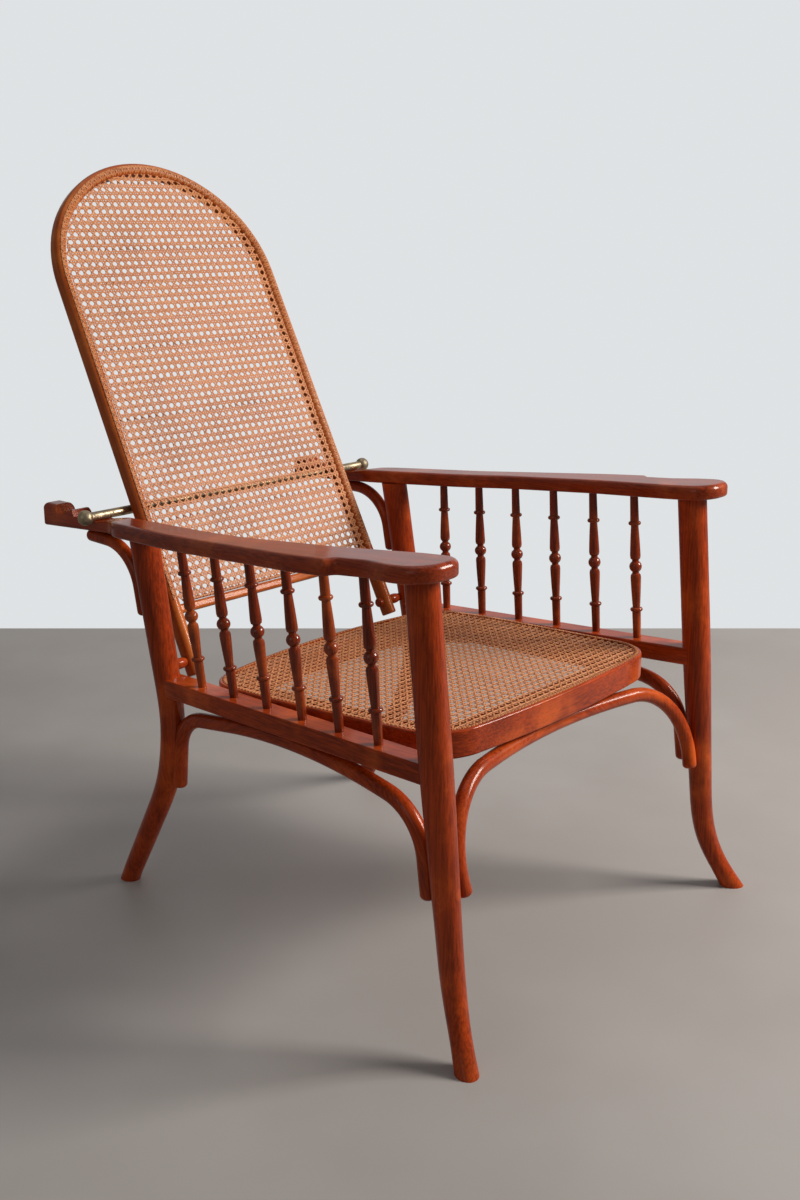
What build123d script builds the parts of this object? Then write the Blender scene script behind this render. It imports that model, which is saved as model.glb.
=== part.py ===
from build123d import *
import os
from math import asin, atan2, cos, degrees, hypot, radians, sin, sqrt, tan

# Bentwood reclining armchair with caned seat and back, in millimetres, +Z up.
# The front faces -Y and the sitter's left is +X.
# Distances along Y are measured backwards from the middle of the front feet.
# At the end the whole chair is moved so that its box stands centred on the origin.

# Fits
glue_gap = 0.1
running_gap = 0.05
free_gap = 0.3
overrun = 4.0

# Front legs
front_foot_x = 313.6
front_knee_x = 289.0
front_knee_y = 40.0
front_knee_z = 68.0
front_leg_top_x = 292.0
front_leg_top_y = 90.0
front_leg_bend = 236.0
front_leg_diameter = 40.0
front_leg_girth_shares = [
    # share of the leg's height, and share of its full girth there
    (0, 0.675),
    (0.1, 0.7),
    (0.16, 0.76),
    (0.25, 0.8),
    (0.34, 0.85),
    (0.6, 1),
    (1.1, 1),
]
leg_sections = 14
leg_tenon_diameter = 22.0
leg_tenon_length = 12.0

# Rear legs
rear_leg_x = 257.0
rear_foot_y = 687.0
rear_knee_y = 558.5
rear_knee_z = 229.5
rear_leg_top_y = 614.6
rear_leg_bend = 270.0
rear_leg_diameter = 40.0
rear_leg_girth_shares = [(0, 0.69), (0.28, 0.775), (0.7, 0.925), (1, 1), (1.1, 1)]

# Armrests, whose rear ends are the racks of the reclining rod
arm_front_y = 47.0
arm_front_z = 577.3
arm_bend_y = 480.0
arm_bend_z = 541.5
arm_rear_y = 828.0
arm_rear_z = 520.0
arm_thickness = 20.0
arm_bend_radius = 3000.0
arm_inner_x = 238.0
arm_spread = 105.0
arm_top_round = 8.0
arm_under_round = 3.5
arm_outline_shares = [
    # across from the inner edge, back from the front end, corner radius across
    (0.0, 1.0, 0.05),
    (0.0, 0.778, 2.0),
    (0.305, 0.445, 4.0),
    (0.305, 0.241, 1.5),
    (0.2, 0.081, 1.0),
    (0.21, 0.0, 0.31),
    (0.95, 0.0, 0.33),
    (0.95, 0.068, 0.6),
    (0.865, 0.122, 0.6),
    (0.885, 0.176, 0.08),
    (1.0, 0.186, 0.08),
    (0.98, 0.266, 3.0),
    (0.676, 0.595, 5.0),
    (0.467, 0.766, 0.6),
    (0.305, 0.8, 0.3),
    (0.305, 1.0, 0.05),
]

# Racks
rack_floor_depth = 14.7
rack_tooth_height = 8.5
rack_tooth_flat = 4.0
rack_block_height = 11.0
rack_pitch = 39.5
rack_notches = 3
rack_lean = 30.0
rack_tooth_gap = 1.2
rack_ramp_length = 47.5
rack_rise_length = 45.0
rack_rise_round = 60.0

# Reclining rod and its two end balls
rod_diameter = 12.6
rod_y = 708.8
rod_end_play = 1.6
rod_ball_diameter = 21.4
rod_ball_bore_depth = 11.0

# Side rails
rail_width = 36.0
rail_height = 25.0
rail_round = 3.0
rail_front_y = 66.0
rail_front_x = 289.7
rail_front_z = 359.7
rail_rear_y = 577.0
rail_rear_x = 253.5
rail_rear_z = 340.2
rail_tenon_diameter = 16.0
rail_tenon_length = 10.0

# Spindles
spindle_count = 6
spindle_first_y = 162.5
spindle_spacing = 68.1
spindle_lean = 19.0
spindle_front_top_x = 287.4
spindle_rear_top_x = 271.2
spindle_ball_diameter = 18.0
spindle_tenon_length = 9.0
spindle_end_share = 0.62
spindle_profile_shares = [
    # along half the spindle from its middle, and radius of the middle ball
    (0.072, 0.55),
    (0.092, 0.55),
    (0.112, 0.78),
    (0.15, 0.85),
    (0.35, 0.755),
    (0.572, 0.6),
    (0.6, 1.0),
    (0.632, 0.7),
]

# Seat ring and its cane
ring_front_y = 88.0
ring_front_corner_x = 236.0
ring_front_corner_y = 104.0
ring_side_y = 400.0
ring_rear_corner_y = 512.0
ring_rear_y = 545.0
ring_front_z = 365.0
ring_rear_z = 342.0
ring_height = 36.0
ring_band = 38.0
ring_front_radius = 70.0
ring_rear_radius = 60.0
ring_side_radius = 500.0
ring_edge_round = 3.0
seat_cane_border = 10.0
seat_cane_thickness = 2.5
seat_cane_pitch = 34.0
seat_cane_gap = 24.0

# Front arch
front_arch_diameter = 20.0
front_arch_foot_x = 257.5
front_arch_foot_y = 50.0
front_arch_foot_z = 188.0
front_arch_corner_x = 276.0
front_arch_corner_y = 77.0
front_arch_corner_drop = 12.0
front_arch_crown_y = 124.0
front_arch_corner_radius = 103.0
front_arch_crown_radius = 1000.0
arch_seat_depth = 1.0
arch_end_round = 6.0

# Side arches
side_arch_diameter = 21.0
side_arch_front_y = 79.0
side_arch_front_z = 186.0
side_arch_front_corner_y = 93.0
side_arch_front_corner_z = 291.0
side_arch_crown_y = 304.0
side_arch_crown_z = 326.0
side_arch_rear_corner_y = 553.0
side_arch_rear_corner_z = 286.0
side_arch_rear_y = 565.0
side_arch_rear_z = 180.0
side_arch_front_radius = 75.0
side_arch_crown_radius = 900.0
side_arch_rear_radius = 60.0

# Rear braces under the racks
brace_diameter = 18.0
brace_foot_z = 420.0
brace_corner_z = 514.0
brace_end_y = 735.0
brace_radius = 70.0

# Reclining back
hinge_y = 589.5
hinge_z = 348.7
bow_width = 19.0
bow_depth = 24.0
bow_round = 9.0
bow_foot_x = 205.6
bow_foot_drop = 22.0
bow_post_lean = 0.8
bow_height = 745.0
bow_corner_radius = 163.0
bow_crown_radius = 208.7
bow_end_round = 2.5
crossbar_rise = 73.5
crossbar_height = 13.0
crossbar_depth = 14.0
crossbar_round = 4.0
crossbar_tenon_length = 6.5
back_cane_thickness = 2.5
back_cane_pitch = 37.0
back_cane_gap = 26.0
cane_margin = 6.0
cane_gap_sides = 8

# Pivot pegs and the turned beads on them
peg_diameter = 9.0
peg_button_diameter = 15.0
peg_button_length = 7.0
peg_button_round = 3.0
peg_depth = 14.0
bead_diameter = 16.0
bead_neck_diameter = 12.0

# Wood screws
screw_head_diameter = 7.0
screw_head_length = 1.6
screw_shank_diameter = 3.6
screw_sink = 1.2
arch_screw_length = 26.0
brace_screw_length = 24.0
seat_screw_length = 52.0
arch_screw_rise = 22.0
side_arch_screw_share = 0.5
front_arch_screw_share = 0.6
brace_screw_inset = 14.0
seat_screw_spacing = 90.0


def table_value(table_shares, place):
    """Read a value between the rows of a table of shares."""
    for (low, low_value), (high, high_value) in zip(table_shares, table_shares[1:]):
        if place <= high:
            return low_value + (high_value - low_value) * (place - low) / (high - low)
    return table_shares[-1][1]


def under_arm(y):
    """Height of the straight runs of an armrest's underside."""
    if y < arm_bend_y:
        return arm_bend_z + (arm_front_z - arm_bend_z) * (arm_bend_y - y) / (arm_bend_y - arm_front_y)
    return arm_bend_z + (arm_rear_z - arm_bend_z) * (y - arm_bend_y) / (arm_rear_y - arm_bend_y)


def arm_underside(x, y):
    """Plane of the armrest's underside, facing up, at one place."""
    rise = under_arm(y + overrun) - under_arm(y)
    return Plane(origin=(x, y, under_arm(y)), x_dir=(1, 0, 0), z_dir=(0, -rise, overrun))


def rail_x(y):
    """Middle of a side rail across the chair."""
    return rail_front_x + (rail_rear_x - rail_front_x) * (y - rail_front_y) / (rail_rear_y - rail_front_y)


def rail_top(y):
    """Height of a side rail's upper face."""
    return rail_front_z + (rail_rear_z - rail_front_z) * (y - rail_front_y) / (rail_rear_y - rail_front_y)


def ring_top(y):
    """Height of the seat ring's upper face."""
    return ring_front_z + (ring_rear_z - ring_front_z) * (y - ring_front_y) / (ring_rear_y - ring_front_y)


def round_bar(start, end, diameter):
    """Straight round bar between two points."""
    start = Vector(start)
    run = Vector(end) - start
    return extrude(Plane(origin=start, z_dir=run) * Circle(diameter / 2), run.length)


def bent_bar(route, diameter, end_round):
    """Round bar bent along a route, with rounded ends."""
    bar = sweep(Plane(origin=route @ 0, z_dir=route % 0) * Circle(diameter / 2), path=route)
    ends = bar.edges().filter_by(GeomType.CIRCLE).filter_by(lambda edge: abs(edge.radius - diameter / 2) < glue_gap)
    tips = [edge for edge in ends if is_tip(edge, route)]
    return fillet(tips, end_round)


def is_tip(edge, route):
    """Tell whether a round edge closes one end of a bar."""
    middle = edge.arc_center
    return min((middle - route @ 0).length, (middle - route @ 1).length) < glue_gap


def largest(shape):
    """Largest solid of a cut piece."""
    return shape.solids().sort_by(SortBy.VOLUME)[-1]


def mirrored(piece):
    """The same piece for the sitter's right side."""
    return mirror(piece, about=Plane.YZ)


# Legs
def leg(top, knee, foot, bend, diameter, girth_shares):
    """Round leg that tapers along a bent route, flat at the floor and under the armrest."""
    top = Vector(top)
    knee = Vector(knee)
    foot = Vector(foot)
    upper = (top - knee).normalized()
    lower = (foot - knee).normalized()
    reach = overrun + diameter / 2
    route = FilletPolyline(top + upper * reach, knee, foot + lower * reach, radius=bend)
    sections = []
    for step in range(leg_sections + 1):
        spot = route @ (step / leg_sections)
        girth = diameter * table_value(girth_shares, max(spot.Z, 0) / top.Z)
        plane = Plane(origin=spot, x_dir=(0, 1, 0), z_dir=route % (step / leg_sections))
        sections.append(plane * Circle(girth / 2))
    body = split(loft(sections), bisect_by=Plane.XY, keep=Keep.TOP)
    body = split(body, bisect_by=arm_underside(top.X, top.Y), keep=Keep.BOTTOM)
    return largest(body) + round_bar(top - upper * overrun, top + upper * leg_tenon_length, leg_tenon_diameter)


def leg_tenon_hole(top, knee):
    """Hole in the armrest for a leg's tenon."""
    top = Vector(top)
    upper = (top - Vector(knee)).normalized()
    hole_end = top + upper * (leg_tenon_length + glue_gap)
    return round_bar(top - upper * overrun, hole_end, leg_tenon_diameter + 2 * glue_gap)


front_leg_top = (front_leg_top_x, front_leg_top_y, under_arm(front_leg_top_y))
front_knee = (front_knee_x, front_knee_y, front_knee_z)
front_leg = leg(
    front_leg_top, front_knee, (front_foot_x, 0, 0), front_leg_bend, front_leg_diameter, front_leg_girth_shares
)
rear_leg_top_z = under_arm(rear_leg_top_y)
rear_leg_top = (rear_leg_x, rear_leg_top_y, rear_leg_top_z)
rear_knee = (rear_leg_x, rear_knee_y, rear_knee_z)
rear_leg = leg(
    rear_leg_top, rear_knee, (rear_leg_x, rear_foot_y, 0), rear_leg_bend, rear_leg_diameter, rear_leg_girth_shares
)

# Reclining rod, resting in the first notch of the racks
rack_outer_x = arm_inner_x + arm_outline_shares[-1][0] * arm_spread
rack_floor_z = under_arm(rod_y) + rack_floor_depth
rod_z = rack_floor_z + free_gap + rod_diameter / 2
rod_ball_x = rack_outer_x + rod_end_play + rod_ball_diameter / 2
rod_end_x = rod_ball_x - rod_ball_diameter / 2 + rod_ball_bore_depth
recline_rod = round_bar((-rod_end_x, rod_y, rod_z), (rod_end_x, rod_y, rod_z), rod_diameter)
rod_ball = Pos(rod_ball_x, rod_y, rod_z) * Sphere(rod_ball_diameter / 2)
rod_ball -= round_bar(
    (rack_outer_x, rod_y, rod_z), (rod_end_x + glue_gap, rod_y, rod_z), rod_diameter + 2 * running_gap
)


# Armrests
def arm_outline():
    """Outline of the armrest seen from above."""
    arm_length = arm_rear_y - arm_front_y
    corners = []
    radii = []
    for across, back, corner in arm_outline_shares:
        corners.append((arm_inner_x + across * arm_spread, arm_front_y + back * arm_length))
        radii.append(corner * arm_spread)
    return make_face(FilletPolyline(*corners, radius=radii, close=True))


def arm_side_view():
    """Outline of the armrest blank seen from the side, as a face across the chair."""
    front_y = arm_front_y - overrun
    rear_y = arm_rear_y + overrun
    block_z = rack_floor_z + rack_block_height
    rise_end = rod_y - rod_diameter / 2
    rise_start = rise_end - rack_rise_length
    points = [
        (0, front_y, under_arm(front_y)),
        (0, arm_bend_y, arm_bend_z),
        (0, rear_y, under_arm(rear_y)),
        (0, rear_y, block_z),
        (0, rise_end, block_z),
        (0, rise_start, under_arm(rise_start) + arm_thickness),
        (0, arm_bend_y, arm_bend_z + arm_thickness),
        (0, front_y, under_arm(front_y) + arm_thickness),
    ]
    radii = [0, arm_bend_radius, 0, 0, rack_rise_round, rack_rise_round, arm_bend_radius, 0]
    return make_face(FilletPolyline(*points, radius=radii, close=True))


def rack_cut():
    """Space above the ramps, notches and teeth of a rack."""
    lean = tan(radians(rack_lean))
    reach = rod_diameter / 2 + rack_tooth_gap
    wall = (reach - (rod_z - rack_floor_z) * sin(radians(rack_lean))) / cos(radians(rack_lean))
    top_z = rack_floor_z + rack_block_height + overrun
    ramp_y = rod_y - rod_diameter / 2 - rack_ramp_length
    points = [(0, ramp_y, top_z), (0, ramp_y, under_arm(ramp_y) + arm_thickness)]
    for notch in range(rack_notches):
        seat_y = rod_y + notch * rack_pitch
        foot_y = seat_y + wall
        points.append((0, seat_y - rod_diameter / 2, rack_floor_z))
        points.append((0, foot_y, rack_floor_z))
        if notch < rack_notches - 1:
            tooth_y = foot_y + rack_tooth_height * lean
            points.append((0, tooth_y, rack_floor_z + rack_tooth_height))
            points.append((0, tooth_y + rack_tooth_flat, rack_floor_z + rack_tooth_height))
    points.append((0, foot_y + (top_z - rack_floor_z) * lean, top_z))
    return extrude(make_face(Polyline(*points, close=True)), arm_inner_x + arm_spread, dir=(1, 0, 0))


def spindle_ends(index):
    """Foot on the rail and head under the armrest of one spindle."""
    foot_y = spindle_first_y + index * spindle_spacing
    head_y = foot_y + spindle_lean
    along = index / (spindle_count - 1)
    head_x = spindle_front_top_x + (spindle_rear_top_x - spindle_front_top_x) * along
    foot = Vector(rail_x(foot_y), foot_y, rail_top(foot_y))
    return foot, Vector(head_x, head_y, under_arm(head_y))


def spindle_hole(index):
    """Round holes in the rail and the armrest for one spindle."""
    foot, head = spindle_ends(index)
    reach = (head - foot).normalized() * (spindle_tenon_length + glue_gap)
    return round_bar(foot - reach, head + reach, spindle_end_share * spindle_ball_diameter + 2 * glue_gap)


arm = extrude(arm_outline(), under_arm(arm_front_y) + arm_thickness + overrun)
arm = arm & extrude(arm_side_view(), arm_inner_x + arm_spread + overrun, dir=(1, 0, 0))
arm_level_faces = arm.faces().filter_by(lambda face: abs(face.normal_at().Z) > cos(radians(rack_lean)))
arm_top_faces = arm_level_faces.filter_by(lambda face: face.normal_at().Z > 0)
arm_under_faces = arm_level_faces.filter_by(lambda face: face.normal_at().Z < 0)


def rim_edges(faces):
    """Edges round a set of joined faces, without the seams between them."""
    every = [edge for face in faces for edge in face.edges()]
    return [edge for edge in every if sum(edge.is_same(other) for other in every) == 1]


arm_under_rim = rim_edges(arm_under_faces)
arm = fillet(rim_edges(arm_top_faces), arm_top_round)
arm_under_rim = [edge for edge in arm.edges() if any(edge.is_same(other) for other in arm_under_rim)]
arm = fillet(arm_under_rim, arm_under_round)
arm -= rack_cut()
arm -= leg_tenon_hole(front_leg_top, front_knee)
arm -= leg_tenon_hole(rear_leg_top, rear_knee)

# Side rail, coped to both legs and tenoned into them
rail_front = Vector(rail_front_x, rail_front_y, rail_front_z - rail_height / 2)
rail_rear = Vector(rail_rear_x, rail_rear_y, rail_rear_z - rail_height / 2)
rail_run = (rail_rear - rail_front).normalized()
rail_across = Vector(rail_run.Y, -rail_run.X, 0)
rail_plane = Plane(origin=rail_front, x_dir=rail_across, z_dir=rail_run)
rail_section = rail_plane * RectangleRounded(rail_width, rail_height, rail_round)
rail = largest(extrude(rail_section, (rail_rear - rail_front).length) - front_leg - rear_leg)
rail_tenons = [
    (rail_front + rail_run * (front_leg_diameter / 2 - rail_tenon_length), rail_run),
    (rail_rear - rail_run * (rear_leg_diameter / 2 - rail_tenon_length), rail_run * -1),
]
for tenon_end, inward in rail_tenons:
    rail += round_bar(tenon_end, tenon_end + inward * (rail_tenon_length + rail_width), rail_tenon_diameter)
    socket = round_bar(
        tenon_end - inward * glue_gap, tenon_end + inward * rail_width, rail_tenon_diameter + 2 * glue_gap
    )
    front_leg -= socket
    rear_leg -= socket


# Spindles between the rails and the armrests
def spindle(index):
    """One turned spindle with a tenon at each end."""
    foot, head = spindle_ends(index)
    half = (head - foot).length / 2
    radius = spindle_ball_diameter / 2
    end_radius = spindle_end_share * radius
    spots = [(radius * b, half * a) for a, b in spindle_profile_shares]
    mirrored_spots = [(x, -y) for x, y in spots]
    tip = half + spindle_tenon_length
    half_lines = []
    for side, (neck, neck_end, flare, shoulder, swell, waist, bead, end) in ((1, spots), (-1, mirrored_spots)):
        half_lines.append(Polyline(neck, neck_end, flare, shoulder))
        half_lines.append(ThreePointArc(shoulder, swell, waist))
        half_lines.append(ThreePointArc(waist, bead, end))
        half_lines.append(Polyline(end, (end_radius, side * tip), (0, side * tip)))
    ball = ThreePointArc(mirrored_spots[0], (radius, 0), spots[0])
    core = Line((0, -tip), (0, tip))
    profile = make_face([ball, core] + half_lines)
    turned = revolve(Plane.XZ * profile, Axis.Z)
    return Plane(origin=(foot + head) / 2, z_dir=head - foot) * turned


spindles = [spindle(index) for index in range(spindle_count)]
for index in range(spindle_count):
    arm -= spindle_hole(index)
    rail -= spindle_hole(index)


# Seat ring, resting against the inner faces of the rails
def ring_outline():
    """Outer outline of the seat ring seen from above."""
    side_x = rail_x(ring_side_y) - rail_width / 2 / cos(atan2(rail_front_x - rail_rear_x, rail_rear_y - rail_front_y))
    rear_x = side_x + rail_x(ring_rear_corner_y) - rail_x(ring_side_y)
    front_left = (ring_front_corner_x, ring_front_corner_y)
    front_right = (-ring_front_corner_x, ring_front_corner_y)
    rear_left = (rear_x, ring_rear_corner_y)
    rear_right = (-rear_x, ring_rear_corner_y)
    lines = [
        ThreePointArc(front_right, (0, ring_front_y), front_left),
        Polyline(front_left, (side_x, ring_side_y), rear_left),
        ThreePointArc(rear_left, (0, ring_rear_y), rear_right),
        Polyline(rear_right, (-side_x, ring_side_y), front_right),
    ]
    outline = make_face(lines)
    outline = fillet(outline.vertices().filter_by_position(Axis.Y, 0, ring_side_y / 2), ring_front_radius)
    outline = fillet(outline.vertices().group_by(Axis.Y)[-1], ring_rear_radius)
    middle = outline.vertices().filter_by(lambda spot: abs(spot.Y - ring_side_y) < glue_gap)
    return fillet(middle, ring_side_radius)


def seat_plane(drop):
    """Plane that slopes with the seat, some way below the ring's upper face."""
    slope = ring_top(ring_rear_y) - ring_top(ring_front_y)
    tilt = Vector(0, -slope, ring_rear_y - ring_front_y)
    return Plane(origin=(0, ring_front_y, ring_front_z - drop), x_dir=(1, 0, 0), z_dir=tilt)


def sunk_plate(outline, thickness):
    """Plate set down from the ring's upper face."""
    return extrude(seat_plane(0) * (Pos(0, -ring_front_y) * outline), -thickness)


ring_shape = ring_outline()
ring_hole = offset(ring_shape, -ring_band, kind=Kind.INTERSECTION)
cane_shape = offset(ring_shape, -seat_cane_border, kind=Kind.INTERSECTION)
ring = extrude(ring_shape, ring_front_z + ring_height)
ring = split(ring, bisect_by=seat_plane(0), keep=Keep.BOTTOM)
ring = split(ring, bisect_by=seat_plane(ring_height), keep=Keep.TOP)
ring_top_face = ring.faces().sort_by(lambda face: face.normal_at().Z)[-1]
ring_under_face = ring.faces().sort_by(lambda face: face.normal_at().Z)[0]
ring = fillet(ring_top_face.edges() + ring_under_face.edges(), ring_edge_round)
ring -= extrude(ring_hole, ring_front_z + ring_height)
ring -= sunk_plate(offset(cane_shape, glue_gap), seat_cane_thickness)
ring -= sunk_plate(offset(cane_shape, glue_gap), -ring_height)


def net_gaps(field, low, high, pitch, gap):
    """Gaps of an open net in staggered rows, with their middles inside a flat field."""
    rows = int((high - low) / pitch) + 1
    spots = []
    for row in range(-rows, rows + 1):
        shift = (row % 2) * pitch / 2
        for column in range(-rows, rows + 1):
            spot = Vector(column * pitch + shift, (low + high) / 2 + row * pitch * sqrt(3) / 2)
            if field.face().is_inside(spot):
                spots.append(spot)
    return [(Pos(spot) * RegularPolygon(gap / 2, cane_gap_sides)).wire() for spot in spots]


seat_field = offset(ring_shape, -ring_band - cane_margin - seat_cane_gap / 2, kind=Kind.INTERSECTION)
seat_gaps = net_gaps(seat_field, ring_front_y, ring_rear_y, seat_cane_pitch, seat_cane_gap)
seat_cane = sunk_plate(Face(cane_shape.face().outer_wire(), seat_gaps), seat_cane_thickness)
print("gaps in the seat's net:", len(seat_gaps))

# Front arch, set against the front legs and the underside of the seat ring
front_arch_corner_z = ring_top(front_arch_corner_y) - ring_height - front_arch_diameter / 2 - front_arch_corner_drop
front_arch_crown_z = ring_top(front_arch_crown_y) - ring_height - front_arch_diameter / 2 + arch_seat_depth
front_arch_route = FilletPolyline(
    (-front_arch_foot_x, front_arch_foot_y, front_arch_foot_z),
    (-front_arch_corner_x, front_arch_corner_y, front_arch_corner_z),
    (0, front_arch_crown_y, front_arch_crown_z),
    (front_arch_corner_x, front_arch_corner_y, front_arch_corner_z),
    (front_arch_foot_x, front_arch_foot_y, front_arch_foot_z),
    radius=[front_arch_corner_radius, front_arch_crown_radius, front_arch_corner_radius],
)
front_arch = bent_bar(front_arch_route, front_arch_diameter, arch_end_round)
front_arch = largest(front_arch - ring - front_leg - mirrored(front_leg))


# Side arches, in the upright plane of the legs and under the rails
def side_arch_spot(y, z):
    """Point of a side arch in the plane of its rail."""
    return (rail_x(y), y, z)


side_arch_route = FilletPolyline(
    side_arch_spot(side_arch_front_y, side_arch_front_z),
    side_arch_spot(side_arch_front_corner_y, side_arch_front_corner_z),
    side_arch_spot(side_arch_crown_y, side_arch_crown_z),
    side_arch_spot(side_arch_rear_corner_y, side_arch_rear_corner_z),
    side_arch_spot(side_arch_rear_y, side_arch_rear_z),
    radius=[side_arch_front_radius, side_arch_crown_radius, side_arch_rear_radius],
)
side_arch = bent_bar(side_arch_route, side_arch_diameter, arch_end_round)
side_arch = largest(side_arch - rail - front_leg - rear_leg)

# Rear braces, from the backs of the rear legs to the undersides of the racks
rear_leg_lean = (rear_leg_top_y - rear_knee_y) / (rear_leg_top_z - rear_knee_z)
brace_foot_y = rear_leg_top_y - (rear_leg_top_z - brace_foot_z) * rear_leg_lean
brace_foot_y += (rear_leg_diameter * rear_leg_girth_shares[2][1] + brace_diameter) / 2
brace_corner_y = brace_foot_y + (brace_corner_z - brace_foot_z) * rear_leg_lean
brace_end_z = under_arm(brace_end_y) - brace_diameter / 2 + arch_seat_depth
brace_route = FilletPolyline(
    (rear_leg_x, brace_foot_y, brace_foot_z),
    (rear_leg_x, brace_corner_y, brace_corner_z),
    (rear_leg_x, brace_end_y, brace_end_z),
    radius=brace_radius,
)
brace = bent_bar(brace_route, brace_diameter, arch_end_round)
brace = largest(brace - rear_leg - arm)

# Reclining back, modelled lying flat with its pivot line on X and its front up,
# and then leaned against the rod
rod_distance = hypot(rod_y - hinge_y, rod_z - hinge_z)
rod_angle = degrees(atan2(rod_y - hinge_y, rod_z - hinge_z))
back_tilt = rod_angle - degrees(asin((bow_depth / 2 + free_gap + rod_diameter / 2) / rod_distance))
leaning = Pos(0, hinge_y, hinge_z) * Rot(90 - back_tilt, 0, 0)


def bow_half(inset, trim):
    """One post, corner and half crown of the back's bow, drawn in by an inset and trimmed at its foot."""
    lean = radians(bow_post_lean)
    up = Vector(-sin(lean), cos(lean))
    inward = Vector(-cos(lean), -sin(lean))
    foot = Vector(bow_foot_x, -bow_foot_drop)
    crown_middle = Vector(0, bow_height - bow_crown_radius)
    aside = foot + inward * bow_corner_radius - crown_middle
    reach = bow_crown_radius - bow_corner_radius
    along = aside.dot(up)
    run = -along + sqrt(along**2 - aside.length**2 + reach**2)
    corner_middle = crown_middle + aside + up * run
    shoulder = foot + up * run
    spread = (corner_middle - crown_middle).normalized()
    crown_start = crown_middle + spread * bow_crown_radius
    elbow = corner_middle + (spread - inward).normalized() * bow_corner_radius
    crown_spot = crown_middle + (spread + Vector(0, 1)).normalized() * bow_crown_radius
    side_inset = inward * inset
    corner_inset = (corner_middle - elbow).normalized() * inset
    start_inset = spread * -inset
    spot_inset = (crown_middle - crown_spot).normalized() * inset
    return [
        Line(foot + side_inset + up * trim, shoulder + side_inset),
        ThreePointArc(shoulder + side_inset, elbow + corner_inset, crown_start + start_inset),
        ThreePointArc(crown_start + start_inset, crown_spot + spot_inset, Vector(0, bow_height - inset)),
    ]


def bow_line(inset, trim):
    """Edges of the whole line of the back's bow."""
    half = bow_half(inset, trim)
    return half + [mirror(edge, about=Plane.YZ).edge() for edge in half]


def bow_window(inset, rise):
    """Outline inside the bow and above some height on its posts."""
    line = bow_line(inset, rise + bow_foot_drop)
    start = line[0] @ 0
    return Wire(line + [Line((-start.X, start.Y), start)])


bow_route = Wire(bow_line(0, 0))
bow_foot = Plane(origin=bow_route @ 0, x_dir=(1, 0, 0), z_dir=bow_route % 0)
back_bow = sweep(bow_foot * RectangleRounded(bow_width, bow_depth, bow_round), path=bow_route)
back_bow = fillet(back_bow.edges().group_by(Axis.Y)[0], bow_end_round)

# Crossbar of the back, tenoned into both posts
crossbar_x = bow_foot_x - (crossbar_rise + bow_foot_drop) * tan(radians(bow_post_lean))
crossbar_shoulder_x = crossbar_x - bow_width / 2


def crossbar_block(half_length, ease):
    """Bar across the back that is larger than the crossbar by a given ease."""
    section = RectangleRounded(crossbar_depth + 2 * ease, crossbar_height + 2 * ease, crossbar_round + ease)
    start = Plane(origin=(-half_length, crossbar_rise, 0), x_dir=(0, 0, 1), z_dir=(1, 0, 0))
    return extrude(start * section, 2 * half_length)


back_crossbar = crossbar_block(crossbar_shoulder_x + crossbar_tenon_length, 0)
back_bow -= crossbar_block(crossbar_shoulder_x + crossbar_tenon_length + glue_gap, glue_gap)

# Cane of the back, in front of the crossbar and inside the bow
back_field = Face(bow_window(bow_width / 2 + cane_margin + back_cane_gap / 2, crossbar_rise + back_cane_pitch / 2))
back_gaps = net_gaps(back_field, crossbar_rise, bow_height, back_cane_pitch, back_cane_gap)
cane_reach = max(crossbar_depth / 2 - (bow_depth / 2 - bow_round), 0)
bow_ease = bow_round - sqrt(bow_round**2 - cane_reach**2)
back_cane_edge = bow_window(bow_width / 2 - bow_ease + glue_gap, crossbar_rise)
back_cane = Pos(0, 0, crossbar_depth / 2) * extrude(Face(back_cane_edge, back_gaps), back_cane_thickness)
print("gaps in the back's net:", len(back_gaps))

# Pivot pegs through the posts into the rear legs, with a turned bead on each
post_x = bow_foot_x - bow_foot_drop * tan(radians(bow_post_lean))
post_inner_x = post_x - bow_width / 2 - free_gap
post_outer_x = post_x + bow_width / 2 + free_gap
peg_button = round_bar(
    (post_inner_x - peg_button_length, hinge_y, hinge_z), (post_inner_x, hinge_y, hinge_z), peg_button_diameter
)
peg_button = fillet(peg_button.edges().sort_by(Axis.X)[0], peg_button_round)
rear_leg_inner_x = rear_leg_x - rear_leg_diameter / 2
peg_end_x = rear_leg_inner_x + peg_depth
peg = peg_button + round_bar(
    (post_inner_x - peg_button_round, hinge_y, hinge_z), (peg_end_x, hinge_y, hinge_z), peg_diameter
)
peg_hole = round_bar(
    (post_inner_x, hinge_y, hinge_z), (peg_end_x + glue_gap, hinge_y, hinge_z), peg_diameter + 2 * glue_gap
)
bead_start = (bead_neck_diameter / 2, 0)
bead_swell = (bead_diameter / 2, (rear_leg_inner_x - post_outer_x) / 2)
bead_end = (bead_neck_diameter / 2, rear_leg_inner_x - post_outer_x)
bead_length = rear_leg_x - post_outer_x
bead_line = [
    Line((0, 0), bead_start),
    ThreePointArc(bead_start, bead_swell, bead_end),
    Polyline(bead_end, (bead_neck_diameter / 2, bead_length), (0, bead_length), (0, 0)),
]
bead = Plane(origin=(post_outer_x, hinge_y, hinge_z), z_dir=(1, 0, 0)) * revolve(
    Plane.XZ * make_face(bead_line), Axis.Z
)
bead = (bead - peg_hole - rear_leg).solids().sort_by(Axis.X)[0]
rear_leg -= peg_hole
post_hole = round_bar((-rear_leg_x, 0, 0), (rear_leg_x, 0, 0), peg_diameter + 2 * running_gap)
back_bow -= post_hole


# Wood screws
def screw(place, direction, length, ease):
    """Wood screw whose head lies at one place and points into the wood."""
    place = Vector(place)
    inward = Vector(direction).normalized()
    head = round_bar(
        place - inward * ease, place + inward * (screw_head_length + ease), screw_head_diameter + 2 * ease
    )
    return head + round_bar(place, place + inward * (length + ease), screw_shank_diameter + 2 * ease)


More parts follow.
